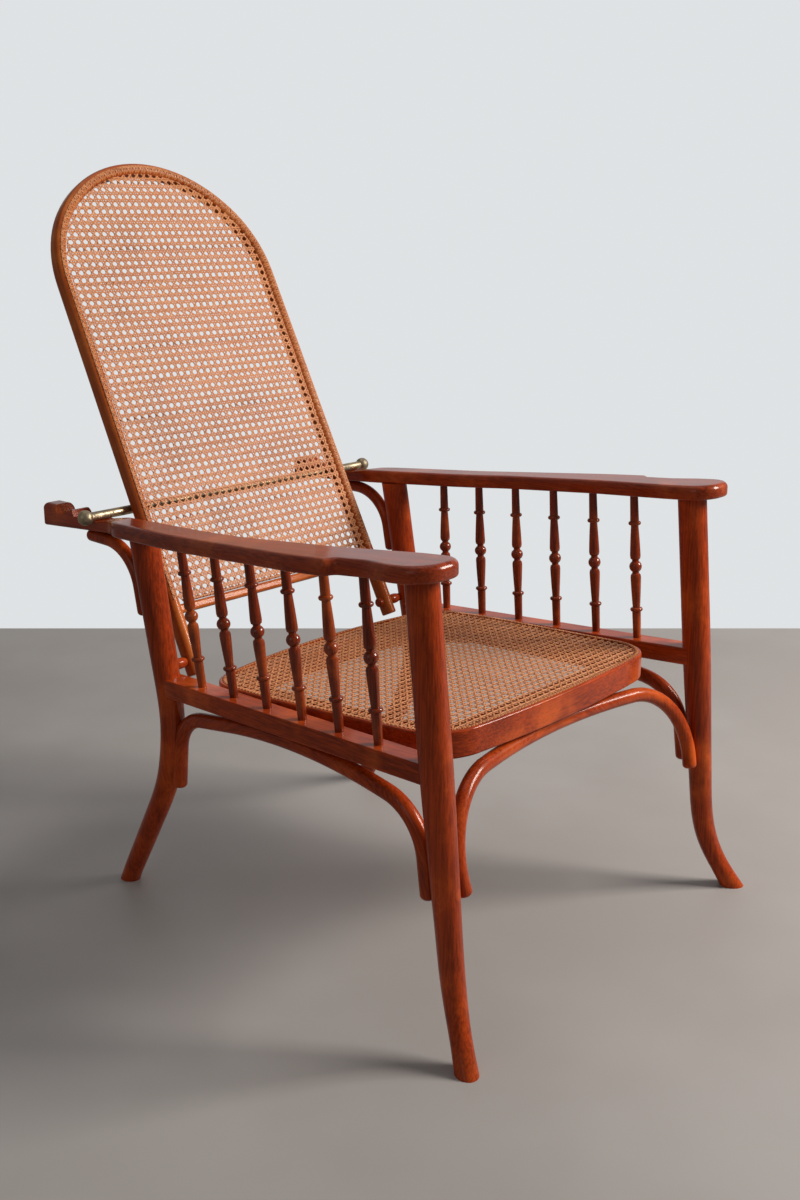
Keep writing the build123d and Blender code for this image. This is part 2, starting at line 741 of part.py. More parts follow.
def on_route(route, start, rise, outward, diameter):
    """Place for a screw head on the outside of a bent bar, at some height above its foot."""
    foot = route @ start
    along = (route % start) if start == 0 else (route % start) * -1
    return foot + along * rise + Vector(outward).normalized() * (diameter / 2 - screw_sink)


arch_screw_places = [
    (on_route(side_arch_route, 0, arch_screw_rise, (0, 1, 0), side_arch_diameter), (0, -1, 0)),
    (on_route(side_arch_route, 1, arch_screw_rise, (0, -1, 0), side_arch_diameter), (0, 1, 0)),
    (on_route(front_arch_route, 1, arch_screw_rise, (-1, 0, 0), front_arch_diameter), (1, 0, 0)),
]
side_crown = side_arch_route @ side_arch_screw_share
arch_screw_places.append((side_crown - Vector(0, 0, side_arch_diameter / 2 - screw_sink), (0, 0, 1)))
front_crown = front_arch_route @ front_arch_screw_share
arch_screw_places.append((front_crown - Vector(0, 0, front_arch_diameter / 2 - screw_sink), (0, 0, 1)))

brace_middle_y = brace_foot_y + brace_screw_inset * rear_leg_lean
brace_screw_places = [
    (
        (rear_leg_x, brace_middle_y + brace_diameter / 2 - screw_sink, brace_foot_z + brace_screw_inset),
        (0, -1, rear_leg_lean),
    ),
    (
        (rear_leg_x, brace_end_y - brace_screw_inset, brace_end_z - brace_diameter / 2 + screw_sink),
        (0, 0, 1),
    ),
]
rail_inward = Vector(-rail_across.X, -rail_across.Y, 0)
if rail_inward.X > 0:
    rail_inward *= -1
seat_screw_places = []
for side in (-1, 1):
    screw_y = (ring_side_y + ring_rear_corner_y + side * seat_screw_spacing) / 2
    middle = Vector(rail_x(screw_y), screw_y, ring_top(screw_y) - ring_height / 2)
    start = middle + rail_inward * (rail_width / 2 + ring_band - screw_sink)
    seat_screw_places.append((start, rail_inward * -1))

arch_screws = [screw(place, way, arch_screw_length, 0) for place, way in arch_screw_places]
brace_screws = [screw(place, way, brace_screw_length, 0) for place, way in brace_screw_places]
seat_screws = [screw(place, way, seat_screw_length, 0) for place, way in seat_screw_places]
screw_holes = [screw(place, way, arch_screw_length, running_gap) for place, way in arch_screw_places]
screw_holes += [screw(place, way, brace_screw_length, running_gap) for place, way in brace_screw_places]
screw_holes += [screw(place, way, seat_screw_length, running_gap) for place, way in seat_screw_places]
for hole in screw_holes:
    front_leg -= hole
    rear_leg -= hole
    rail -= hole
    arm -= hole
    side_arch -= hole
    brace -= hole
    ring -= hole
    ring -= mirrored(hole)
    front_arch -= hole
    front_arch -= mirrored(hole)

# Every node of the chair, before it is centred
side_pieces = {
    "front_leg": front_leg,
    "rear_leg": rear_leg,
    "armrest": arm,
    "side_rail": rail,
    "side_arch": side_arch,
    "rear_brace": brace,
    "pivot_peg": peg,
    "pivot_bead": bead,
    "rod_ball": rod_ball,
}
for index, piece in enumerate(spindles):
    side_pieces[f"spindle_{index + 1}"] = piece
nodes = {
    "seat_ring": ring,
    "seat_cane": seat_cane,
    "front_arch": front_arch,
    "recline_rod": recline_rod,
    "back_bow": leaning * back_bow,
    "back_crossbar": leaning * back_crossbar,
    "back_cane": leaning * back_cane,
}
for name, piece in side_pieces.items():
    nodes[f"{name}_left"] = piece
    nodes[f"{name}_right"] = mirrored(piece)
for name, screws in (("arch_screws", arch_screws), ("brace_screws", brace_screws), ("seat_screws", seat_screws)):
    both = screws + [mirrored(piece) for piece in screws]
    nodes[name] = Compound(children=[solid for piece in both for solid in piece.solids()])

# The chair stands centred on the origin
chair_box = Compound(children=[solid for piece in nodes.values() for solid in piece.solids()]).bounding_box()
centring = Pos(0, -chair_box.center().Y, 0)
os.makedirs("parts", exist_ok=True)
for name, piece in nodes.items():
    solids = (centring * piece).solids()
    export_step(solids[0] if len(solids) == 1 else Compound(children=solids), f"parts/{name}.step")
print("box", chair_box.size, "middle", chair_box.center().Y)
print("back pivot", hinge_y - chair_box.center().Y, hinge_z, "tilt", back_tilt)
shift_y = rod_y + rack_pitch * (rack_notches - 1) / 2
shift_z = rod_z - rack_pitch * (rack_notches - 1) / 2 * tan(radians(back_tilt))
print("rod", rod_y - chair_box.center().Y, rod_z, "turns about", shift_y - chair_box.center().Y, shift_z)
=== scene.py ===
"""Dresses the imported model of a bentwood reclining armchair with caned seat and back.

The CAD pieces keep their shapes and get stained beech, aged brass and old steel.
The two cane nets are replaced by woven cane, and the chair stands in a plain pale studio.
"""

import logging
import math
from dataclasses import dataclass
from enum import Enum
from typing import Callable, Optional, Union

import bmesh
import bpy
import numpy as np
from mathutils import Matrix, Vector


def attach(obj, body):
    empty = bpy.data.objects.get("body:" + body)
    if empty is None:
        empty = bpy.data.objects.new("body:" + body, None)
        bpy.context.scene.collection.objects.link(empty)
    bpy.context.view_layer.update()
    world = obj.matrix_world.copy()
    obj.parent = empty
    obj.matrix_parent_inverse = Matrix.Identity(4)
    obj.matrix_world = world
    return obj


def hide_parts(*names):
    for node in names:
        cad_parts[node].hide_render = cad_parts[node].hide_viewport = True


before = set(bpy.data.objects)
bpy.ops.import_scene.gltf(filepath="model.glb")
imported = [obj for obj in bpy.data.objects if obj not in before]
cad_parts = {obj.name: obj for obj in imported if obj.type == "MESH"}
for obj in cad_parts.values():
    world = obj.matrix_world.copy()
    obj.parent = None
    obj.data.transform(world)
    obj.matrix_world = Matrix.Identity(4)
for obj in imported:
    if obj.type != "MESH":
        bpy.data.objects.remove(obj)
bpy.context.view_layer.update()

log = logging.getLogger("armchair")

Point = tuple[float, float]
Triple = tuple[float, float, float]
Colour = tuple[float, float, float]
Family = tuple[bpy.types.Object, float]
Socket = Union[str, int]
Value = Union["Reading", float]

QUARTER_TURN = math.pi / 2
ORIGIN = (0, 0, 0)
SMOOTH_BELOW = math.radians(40)

# Sockets of the Mix node that blends colours
MIX_FACTOR, MIX_FIRST, MIX_SECOND, MIX_RESULT = 0, 6, 7, 2

# Attribute that holds a point's place along and across its strand, and the strand's family
FIBRE_MARK = "fibre"

# Points of an outline that are nearer together than this are one point
SAME_SPOT = 0.0001

# Least upward part of an upper face's normal
FACES_UP = 0.9

# Width of a piece's upper face as a share of its lower one
STRAND_TOP = 0.55
STRIP_TOP = 0.6

# Places of the two flat panels: on the ring's sloping upper face, and turned up round the pivot
SEAT_FRONT = (0, -0.36939, 0.365)
SEAT_SLOPE = math.atan2(0.023, 0.457)
SEAT_PLACE = Matrix.Translation(SEAT_FRONT) @ Matrix.Rotation(-SEAT_SLOPE, 4, "X")
BACK_PIVOT = (0, 0.13211, 0.3487)
BACK_LEAN = math.radians(26.239)
BACK_PLACE = Matrix.Translation(BACK_PIVOT) @ Matrix.Rotation(QUARTER_TURN - BACK_LEAN, 4, "X")


class Reading:
    """A socket of a shader node that takes part in sums."""

    def __init__(self, recipe: "Recipe", socket: bpy.types.NodeSocket) -> None:
        """Keep the socket and the recipe that it belongs to."""
        self.recipe = recipe
        self.socket = socket

    def __add__(self, other: Value) -> "Reading":
        """Add."""
        return self.recipe.maths("ADD", self, other)

    __radd__ = __add__

    def __sub__(self, other: Value) -> "Reading":
        """Take away."""
        return self.recipe.maths("SUBTRACT", self, other)

    def __rsub__(self, other: float) -> "Reading":
        """Take this reading away from a number."""
        return self.recipe.maths("SUBTRACT", other, self)

    def __mul__(self, other: Value) -> "Reading":
        """Multiply."""
        return self.recipe.maths("MULTIPLY", self, other)

    __rmul__ = __mul__


Fibres = tuple[Reading, Reading, Reading]


def opaque(colour: Colour) -> tuple[float, float, float, float]:
    """Give a colour full opacity."""
    return (*colour, 1.0)


def darker(colour: Colour, share: float) -> Colour:
    """Darken a colour to a share of itself."""
    return tuple(channel * share for channel in colour)


class Recipe:
    """The node tree of one material, written down call by call."""

    def __init__(self, name: str) -> None:
        """Start an empty material.

        Args:
            name: name of the material.
        """
        self.material = bpy.data.materials.new(name)
        self.material.use_nodes = True
        self.tree = self.material.node_tree
        self.tree.nodes.clear()

    def node(
        self,
        kind: str,
        settings: Optional[dict[str, object]] = None,
        inputs: Optional[dict[Socket, object]] = None,
        output: Socket = 0,
    ) -> Reading:
        """Add any node.

        Args:
            kind: type of the node, without the words ShaderNode.
            settings: the node's own settings.
            inputs: values or readings for its sockets.
            output: the socket that is read.

        Returns:
            The reading of that output.
        """
        made = self.tree.nodes.new("ShaderNode" + kind)
        for name, value in (settings or {}).items():
            setattr(made, name, value)
        for name, value in (inputs or {}).items():
            self.feed(made.inputs[name], value)
        return Reading(self, made.outputs[output])

    def feed(self, socket: bpy.types.NodeSocket, value: object) -> None:
        """Link a reading to a socket, or set the socket to a value.

        Args:
            socket: socket of a node in the tree.
            value: reading, number or colour.
        """
        if isinstance(value, Reading):
            self.tree.links.new(value.socket, socket)
        else:
            socket.default_value = value

    def maths(self, operation: str, *values: Value) -> Reading:
        """Add a Math node on readings or numbers, in order."""
        return self.node("Math", {"operation": operation}, dict(enumerate(values)))

    def blend(self, factor: Reading, first: object, second: object) -> Reading:
        """Mix two colours.

        Args:
            factor: share of the second colour.
            first: reading or colour.
            second: reading or colour.

        Returns:
            The reading of the mixed colour.
        """
        inputs = {MIX_FACTOR: factor}
        for socket, colour in ((MIX_FIRST, first), (MIX_SECOND, second)):
            inputs[socket] = colour if isinstance(colour, Reading) else opaque(colour)
        return self.node("Mix", {"data_type": "RGBA"}, inputs, MIX_RESULT)

    def layered(self, colour: Colour, *layers: tuple[Reading, Colour]) -> Reading:
        """Lay colours over each other, each through its mask.

        Args:
            colour: the colour below.
            layers: masks and colours, from below to above.

        Returns:
            The reading of the colour that shows.
        """
        for mask, cover in layers:
            colour = self.blend(mask, colour, cover)
        return colour

    def window(self, value: Reading, low: float, high: float) -> Reading:
        """Turn a reading into a mask that rises smoothly from 0 at low to 1 at high."""
        settings = {"interpolation_type": "SMOOTHSTEP"}
        return self.node("MapRange", settings, {"Value": value, "From Min": low, "From Max": high})

    def stretched(self, axes: Fibres, scales: Triple) -> Reading:
        """Make one place out of three readings, each multiplied by its own scale."""
        parts = (axis * scale for axis, scale in zip(axes, scales))
        return self.node("CombineXYZ", None, dict(enumerate(parts)))

    def noise(
        self, place: Reading, scale: float = 1.0, detail: float = 2.0, roughness: float = 0.5
    ) -> Reading:
        """Read soft noise at a place.

        Args:
            place: vector to read it at.
            scale: how fine it is.
            detail: layers of finer noise.
            roughness: strength of the finer layers.

        Returns:
            The reading of its value.
        """
        return self.node(
            "TexNoise",
            {"normalize": True},
            {"Vector": place, "Scale": scale, "Detail": detail, "Roughness": roughness},
        )

    def place(self) -> Reading:
        """Read the object's coordinates."""
        return self.node("TexCoord", None, None, "Object")

    def apart(self, vector: Reading) -> Fibres:
        """Split a vector.

        Args:
            vector: reading of the vector.

        Returns:
            Its three readings.
        """
        split = self.tree.nodes.new("ShaderNodeSeparateXYZ")
        self.feed(split.inputs[0], vector)
        return tuple(Reading(self, output) for output in split.outputs)

    def bump(self, height: Reading, strength: float, distance: float) -> Reading:
        """Read the normal of a bumped surface."""
        inputs = {"Height": height, "Strength": strength, "Distance": distance}
        return self.node("Bump", None, inputs)

    def finish(
        self, varying: dict[str, Reading], fixed: dict[str, object]
    ) -> bpy.types.Material:
        """Close the recipe with its surface shader.

        Args:
            varying: readings for the shader's sockets.
            fixed: numbers and colours for the shader's sockets.

        Returns:
            The finished material.
        """
        shader = self.node("BsdfPrincipled", None, {**fixed, **varying})
        output = self.tree.nodes.new("ShaderNodeOutputMaterial")
        self.feed(output.inputs["Surface"], shader)
        return self.material


class Grain(Enum):
    """Way that the fibres of a wooden piece run, straight or round its bend."""

    UPRIGHT = "upright"
    DEEP = "deep"
    ACROSS = "across"
    LEANING_BOW = "leaning_bow"
    FRONT_ARCH = "front_arch"
    SIDE_ARCH = "side_arch"
    RING = "ring"


@dataclass(frozen=True)
class BendPlace:
    """Where the fibres of a bent piece turn, in metres and radians.

    They run straight as far as rise and then round the middle. The angle of that turn, times
    reach, is the length along them.
    """

    middle_y: float
    middle_z: float = 0.0
    lean: float = 0.0
    rise: float = 0.0
    reach: float = 0.2


BENDS = {
    Grain.LEANING_BOW: BendPlace(BACK_PIVOT[1], BACK_PIVOT[2], lean=BACK_LEAN, rise=0.545),
    Grain.FRONT_ARCH: BendPlace(-0.36, rise=0.22),
    Grain.SIDE_ARCH: BendPlace(-0.135, rise=0.12),
    Grain.RING: BendPlace(-0.14, reach=0.22),
}


def fibre_place(recipe: Recipe, grain: Grain) -> Fibres:
    """Read where a point lies in the wood.

    Args:
        recipe: material being written.
        grain: way that the fibres run.

    Returns:
        Two readings across the fibres and one along them.
    """
    x, y, z = recipe.apart(recipe.place())
    straight = {Grain.UPRIGHT: (x, y, z), Grain.DEEP: (x, z, y), Grain.ACROSS: (y, z, x)}
    if grain in straight:
        return straight[grain]
    bend = BENDS[grain]
    behind = y - bend.middle_y
    if grain is Grain.RING:
        turned = recipe.maths("ARCTAN2", behind, x) * bend.reach
        return recipe.maths("SQRT", x * x + behind * behind), z, turned
    if grain is Grain.SIDE_ARCH:
        aside, depth, rise = behind, x, z
    else:
        low = z - bend.middle_z
        rise = low * math.cos(bend.lean) + behind * math.sin(bend.lean)
        depth = behind * math.cos(bend.lean) - low * math.sin(bend.lean)
        aside = x
    over = recipe.maths("MAXIMUM", rise - bend.rise, 0.0)
    spread = recipe.maths("SQRT", aside * aside + over * over)
    turned = recipe.maths("ARCTAN2", over, recipe.maths("ABSOLUTE", aside)) * bend.reach
    return spread, depth, recipe.maths("MINIMUM", rise, bend.rise) + turned


@dataclass(frozen=True)
class StainedBeech:
    """Steam-bent beech, stained and polished.

    It has streaks and bands along the fibres, short flecks, blotches of stain, rubbed places and
    grime. A scale of three numbers goes twice across the fibres and once along them.
    """

    name: str
    shade: Colour
    body: Colour
    light: Colour
    gloss: float = 0.26
    varnish: float = 0.3
    rub: float = 0.3
    streak_scale: Triple = (430.0, 430.0, 11.0)
    band_scale: Triple = (34.0, 34.0, 2.6)
    fleck_scale: Triple = (1000.0, 1000.0, 75.0)
    blotch_scale: float = 11.0
    worn_scale: float = 23.0
    grime_scale: float = 41.0
    sheen_tint: Colour = (1.0, 0.66, 0.45)

    def material(self, grain: Grain) -> bpy.types.Material:
        """Write the material for one way of the fibres.

        Args:
            grain: way that the fibres run.

        Returns:
            The material.
        """
        recipe = Recipe(f"{self.name}_{grain.value}")
        fibres = fibre_place(recipe, grain)
        place = recipe.place()
        streaks = recipe.noise(
            recipe.stretched(fibres, self.streak_scale), detail=4.0, roughness=0.6
        )
        bands = recipe.noise(recipe.stretched(fibres, self.band_scale), detail=3.0)
        flecks = recipe.noise(
            recipe.stretched(fibres, self.fleck_scale), detail=1.0, roughness=0.4
        )
        blotches = recipe.noise(place, self.blotch_scale, detail=4.0, roughness=0.6)
        worn = recipe.noise(place, self.worn_scale, detail=5.0, roughness=0.68)
        smears = recipe.noise(place, self.grime_scale, detail=4.0, roughness=0.7)
        tone = recipe.window(streaks * 0.64 + bands * 0.36, low=0.31, high=0.67)
        rubbed = recipe.window(worn, low=0.62, high=0.74) * self.rub
        grime = recipe.window(smears, low=0.66, high=0.8) * 0.35
        colour = recipe.layered(
            self.shade,
            (tone, self.body),
            (recipe.window(blotches, low=0.47, high=0.74) * 0.6, self.light),
            (rubbed, self.light),
            (recipe.window(flecks, low=0.6, high=0.72) * 0.5, self.shade),
            (grime, darker(self.shade, 0.35)),
        )
        height = streaks * 0.6 - flecks * 0.25 + worn * 0.3
        return recipe.finish(
            {
                "Base Color": colour,
                "Roughness": self.gloss + streaks * 0.1 + rubbed * 0.3 + grime * 0.3,
                "Normal": recipe.bump(height, strength=0.16, distance=0.0006),
            },
            {
                "IOR": 1.45,
                "Specular IOR Level": 0.14,
                "Specular Tint": opaque(self.sheen_tint),
                "Coat Weight": self.varnish,
                "Coat Roughness": 0.09,
                "Coat IOR": 1.45,
            },
        )


@dataclass(frozen=True)
class AgedMetal:
    """Bare metal, drawn along X, dulled and spotted with age."""

    name: str
    bright: Colour
    dull: Colour
    spots: Colour
    smoothness: float
    draw_scale: Triple = (60.0, 1300.0, 1300.0)
    patina_scale: float = 38.0
    pit_scale: float = 340.0

    def material(self) -> bpy.types.Material:
        """Write the material.

        Returns:
            The material.
        """
        recipe = Recipe(self.name)
        place = recipe.place()
        patina = recipe.noise(place, self.patina_scale, detail=6.0, roughness=0.65)
        pits = recipe.noise(place, self.pit_scale, detail=3.0)
        drawn = recipe.noise(recipe.stretched(recipe.apart(place), self.draw_scale))
        dulled = recipe.window(patina, low=0.4, high=0.62)
        spotted = recipe.window(patina * 0.6 + pits * 0.4, low=0.53, high=0.66)
        colour = recipe.layered(self.bright, (dulled, self.dull), (spotted * 0.75, self.spots))
        height = drawn * 0.5 - pits * 0.6
        return recipe.finish(
            {
                "Base Color": colour,
                "Metallic": 1.0 - spotted * 0.45,
                "Roughness": self.smoothness + dulled * 0.14 + spotted * 0.2 + drawn * 0.08,
                "Normal": recipe.bump(height, strength=0.14, distance=0.0004),
            },
            {},
        )


@dataclass(frozen=True)
class SplitCane:
    """Split cane whose strands differ in tone, with fine fibres, knots, a faint shine and grime.

    A scale of three numbers goes along the strand, across it, and from family to family.
    """

    name: str
    straw: Colour
    pale: Colour
    brown: Colour
    roughness: float = 0.42
    strand_scale: Triple = (5.0, 330.0, 7.3)
    line_scale: Triple = (40.0, 3800.0, 3.1)
    knot_scale: Triple = (26.0, 300.0, 5.7)
    ageing_scale: float = 6.5
    grime_scale: float = 60.0

    def material(self) -> bpy.types.Material:
        """Write the material.

        Returns:
            The material.
        """
        recipe = Recipe(self.name)
        mark = recipe.node("Attribute", {"attribute_name": FIBRE_MARK}, None, "Vector")
        fibre = recipe.apart(mark)
        place = recipe.place()
        strand = recipe.noise(recipe.stretched(fibre, self.strand_scale))
        lines = recipe.noise(recipe.stretched(fibre, self.line_scale))
        knots = recipe.noise(recipe.stretched(fibre, self.knot_scale), detail=1.0)
        ageing = recipe.noise(place, self.ageing_scale, detail=4.0, roughness=0.6)
        smears = recipe.noise(place, self.grime_scale, detail=4.0, roughness=0.7)
        dirt = recipe.window(smears, low=0.6, high=0.78) * 0.35
        colour = recipe.layered(
            self.straw,
            (recipe.window(strand, low=0.34, high=0.66), self.pale),
            (recipe.window(ageing, low=0.45, high=0.75) * 0.5, self.brown),
            (recipe.window(knots, low=0.66, high=0.72) * 0.6, self.brown),
            (recipe.window(lines, low=0.5, high=0.75) * 0.28, self.brown),
            (dirt, darker(self.brown, 0.4)),
        )
        return recipe.finish(
            {
                "Base Color": colour,
                "Roughness": self.roughness + dirt * 0.4 + strand * 0.1,
                "Normal": recipe.bump(lines, strength=0.35, distance=0.0004),
            },
            {"IOR": 1.5, "Specular IOR Level": 0.32},
        )


@dataclass(frozen=True)
class StudioFloor:
    """Plain pale floor with the faintest clouding."""

    name: str = "studio_floor"
    pale: Colour = (0.365, 0.335, 0.315)
    clouded: Colour = (0.32, 0.29, 0.27)
    cloud_scale: float = 1.3
    roughness: float = 0.5

    def material(self) -> bpy.types.Material:
        """Write the material.

        Returns:
            The material.
        """
        recipe = Recipe(self.name)
        cloud = recipe.noise(recipe.place(), self.cloud_scale, detail=4.0, roughness=0.55)
        colour = recipe.blend(recipe.window(cloud, low=0.35, high=0.65), self.pale, self.clouded)
        roughness = self.roughness + cloud * 0.12
        return recipe.finish({"Base Color": colour, "Roughness": roughness}, {"IOR": 1.4})


def deselect() -> None:
    """Deselect every object."""
    for other in bpy.context.selected_objects:
        other.select_set(False)


def only(piece: bpy.types.Object) -> None:
    """Select one object and nothing else.

    Args:
        piece: the object, which becomes the active one.
    """
    deselect()
    piece.select_set(True)
    bpy.context.view_layer.objects.active = piece


class Parts(Enum):
    """Kinds of parts of a mesh, with their select modes."""

    VERTS = "VERT"
    EDGES = "EDGE"
    FACES = "FACE"


def select_parts(kind: Parts, test: Callable[[object], bool]) -> None:
    """Select the parts of the edited mesh that pass a test.

    Args:
        kind: the kind of parts.
        test: tells whether one of them is wanted.
    """
    bpy.ops.mesh.select_mode(type=kind.value)
    bpy.ops.mesh.select_all(action="DESELECT")
    mesh = bmesh.from_edit_mesh(bpy.context.object.data)
    for part in getattr(mesh, kind.name.lower()):
        if test(part):
            part.select_set(True)
    mesh.select_flush_mode()
    bmesh.update_edit_mesh(bpy.context.object.data)


def turn_selected(angle: float) -> None:
    """Turn what is selected clockwise round the Z axis."""
    bpy.ops.transform.rotate(value=angle, orient_axis="Z", center_override=ORIGIN)


def leave_at(x: float, y: float, z: float) -> None:
    """Move what is selected so far, and leave edit mode."""
    bpy.ops.transform.translate(value=(x, y, z))
    bpy.ops.object.mode_set(mode="OBJECT")


def apply_modifiers(piece: bpy.types.Object) -> None:
    """Apply every modifier of an object.

    Args:
        piece: the object.
    """
    only(piece)
    for modifier in list(piece.modifiers):
        bpy.ops.object.modifier_apply(modifier=modifier.name)


class Axis(Enum):
    """Direction that a bar is modelled along."""

    X = 0
    Y = 1


def rounded_bar(
    name: str, size: Triple, axis: Axis, top_share: float, cuts: int
) -> bpy.types.Object:
    """Model a bar that narrows upwards, and leave it in edit mode, selected all over.

    Args:
        name: name of the new object.
        size: its sizes along X, Y and Z.
        axis: the direction that it runs in.
        top_share: width of its upper face as a share of the lower one.
        cuts: number of cuts across it.

    Returns:
        The bar.
    """
    deselect()
    bpy.ops.mesh.primitive_cube_add(size=1)
    bar = bpy.context.object
    bar.name = name
    bpy.ops.object.mode_set(mode="EDIT")
    bpy.ops.transform.resize(value=size)
    select_parts(Parts.FACES, lambda face: face.normal.z > FACES_UP)
    bpy.ops.transform.resize(value=(1, top_share, 1) if axis is Axis.X else (top_share, 1, 1))
    if cuts:
        way, half = axis.value, size[axis.value] / 2
        select_parts(
            Parts.EDGES,
            lambda edge: abs(edge.verts[0].co[way] - edge.verts[1].co[way]) > half,
        )
        bpy.ops.mesh.subdivide(number_cuts=cuts)
    bpy.ops.mesh.select_all(action="SELECT")
    return bar


def repeated(piece: bpy.types.Object, step: Triple) -> bpy.types.Modifier:
    """Start a row of a piece, each copy with its own faces.

    Args:
        piece: what is repeated.
        step: distance from each copy to the next.

    Returns:
        The modifier, which still needs its length.
    """
    row = piece.modifiers.new("row", "ARRAY")
    row.use_relative_offset = False
    row.use_constant_offset = True
    row.constant_offset_displace = step
    return row


def row_of(piece: bpy.types.Object, count: int, step: Triple) -> None:
    """Repeat a piece in a row of so many, a step apart."""
    repeated(piece, step).count = count
    apply_modifiers(piece)


@dataclass(frozen=True)
class OutlineArc:
    """One arc of a rounded outline, in metres and degrees, run anticlockwise."""

    middle: Point
    radius: float
    start: float
    end: float
    steps: int

    def spots(self, inset: float) -> list[Point]:
        """List the points of the arc.

        Args:
            inset: how far the points lie inside the arc.

        Returns:
            The points in order.
        """
        found = []
        reach = self.radius - inset
        for step in range(self.steps + 1):
            angle = math.radians(self.start + (self.end - self.start) * step / self.steps)
            x = self.middle[0] + reach * math.cos(angle)
            found.append((x, self.middle[1] + reach * math.sin(angle)))
        return found


def outline(arcs: tuple[OutlineArc, ...], inset: float) -> list[Point]:
    """List the points of a rounded outline in order.

    Args:
        arcs: the arcs of the outline.
        inset: how far inside the outline the points lie.

    Returns:
        The points, none of them twice.
    """
    spots: list[Point] = []
    for arc in arcs:
        for spot in arc.spots(inset):
            if not spots or math.dist(spot, spots[-1]) > SAME_SPOT:
                spots.append(spot)
    if math.dist(spots[0], spots[-1]) < SAME_SPOT:
        spots.pop()
    return spots


def lay_along(
    unit: bpy.types.Object, pitch: float, spots: list[Point], height: float, closed: bool
) -> None:
    """Repeat a piece along a line of points, each copy bent to the line.

    Args:
        unit: what is repeated, from 0 to its pitch along X.
        pitch: length of one repeat.
        spots: points of the line.
        height: height of the line.
        closed: whether the line runs back to its start.
    """
    curve = bpy.data.curves.new(unit.name + "_path", "CURVE")
    curve.dimensions = "3D"
    curve.twist_mode = "Z_UP"
    line = curve.splines.new("POLY")
    line.points.add(len(spots) - 1)
    for point, (x, y) in zip(line.points, spots):
        point.co = (x, y, height, 1)
    line.use_cyclic_u = closed
    path = bpy.data.objects.new(unit.name + "_path", curve)
    bpy.context.scene.collection.objects.link(path)
    row = repeated(unit, (pitch, 0, 0))
    row.fit_type = "FIT_CURVE"
    row.curve = path
    unit.modifiers.new("bend", "CURVE").object = path
    apply_modifiers(unit)
    bpy.data.objects.remove(path)


def mark_fibres(piece: bpy.types.Object, angle: float, number: int) -> np.ndarray:
    """Store for each point how far along and across its strand it lies.

    Args:
        piece: the strands.
        angle: direction that they run in.
        number: number of the family.

    Returns:
        The places of the points.
    """
    mesh = piece.data
    spots = np.empty(len(mesh.vertices) * 3, dtype=np.float32)
    mesh.vertices.foreach_get("co", spots)
    spots = spots.reshape(-1, 3)
    along = spots[:, 0] * math.cos(angle) + spots[:, 1] * math.sin(angle)
    across = spots[:, 1] * math.cos(angle) - spots[:, 0] * math.sin(angle)
    family = np.full(len(along), float(number))
    facts = np.stack([along, across, family], axis=1).astype(np.float32)
    marks = mesh.attributes.new(FIBRE_MARK, "FLOAT_VECTOR", "POINT")
    marks.data.foreach_set("vector", facts.ravel())
    return spots


def joined(pieces: list[bpy.types.Object], name: str) -> bpy.types.Object:
    """Join pieces into one.

    Args:
        pieces: the pieces.
        name: name of what they become.

    Returns:
        The joined piece.
    """
    only(pieces[0])
    for piece in pieces:
        piece.select_set(True)
    bpy.ops.object.join()
    bpy.context.object.name = name
    return bpy.context.object


def settle(piece: bpy.types.Object, place: Matrix, finish: bpy.types.Material, body: str) -> None:
    """Turn a flat cane piece into its place on the chair, smooth it and give it its finish.

    Args:
        piece: the finished flat piece.
        place: where it goes.
        finish: its material.
        body: the body that it rides on.
    """
    only(piece)
    piece.matrix_world = place
    bpy.ops.object.transform_apply(location=True, rotation=True, scale=True)
    bpy.ops.object.shade_smooth_by_angle(angle=SMOOTH_BELOW)
    piece.data.materials.clear()
    piece.data.materials.append(finish)
    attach(piece, body)


@dataclass(frozen=True)
class Ripple:
    """Uneven wave over a panel, which differs between the families of strands."""

    waves: Point
    shifts: Point

    def read(self, first: np.ndarray, second: np.ndarray, number: int) -> np.ndarray:
        """Read the wave at the points of one family, from their places along two axes."""
        first_part = np.sin(first * self.waves[0] + number * self.shifts[0])
        return first_part * np.sin(second * self.waves[1] + number * self.shifts[1])


@dataclass(frozen=True)
class Weave:
    """Sizes of six-way woven cane, in metres, and the stack of its straight families.

    Each family of the stack is upright or not, and has a height in layers from the middle.
    """

    pitch_across: float = 0.0130
    pitch_along: float = 0.0118
    strand_width: float = 0.0020
    diagonal_width: float = 0.0023
    strand_thickness: float = 0.00048
    layer_share: float = 0.86
    pair_gap: float = 0.0025
    spare_pairs: int = 2
    cut_pitch: float = 0.02
    wave: float = 0.00095
    wander: float = 0.0005
    lift: float = 0.00012
    ripple_x: Ripple = Ripple((83.0, 29.0), (1.7, 1.0))
    ripple_y: Ripple = Ripple((91.0, 31.0), (2.3, 1.0))
    ripple_z: Ripple = Ripple((61.0, 47.0), (1.0, 2.0))
    stack: tuple[tuple[bool, float], ...] = ((True, -1.5), (False, -0.5), (True, 0.5), (False, 1.5))


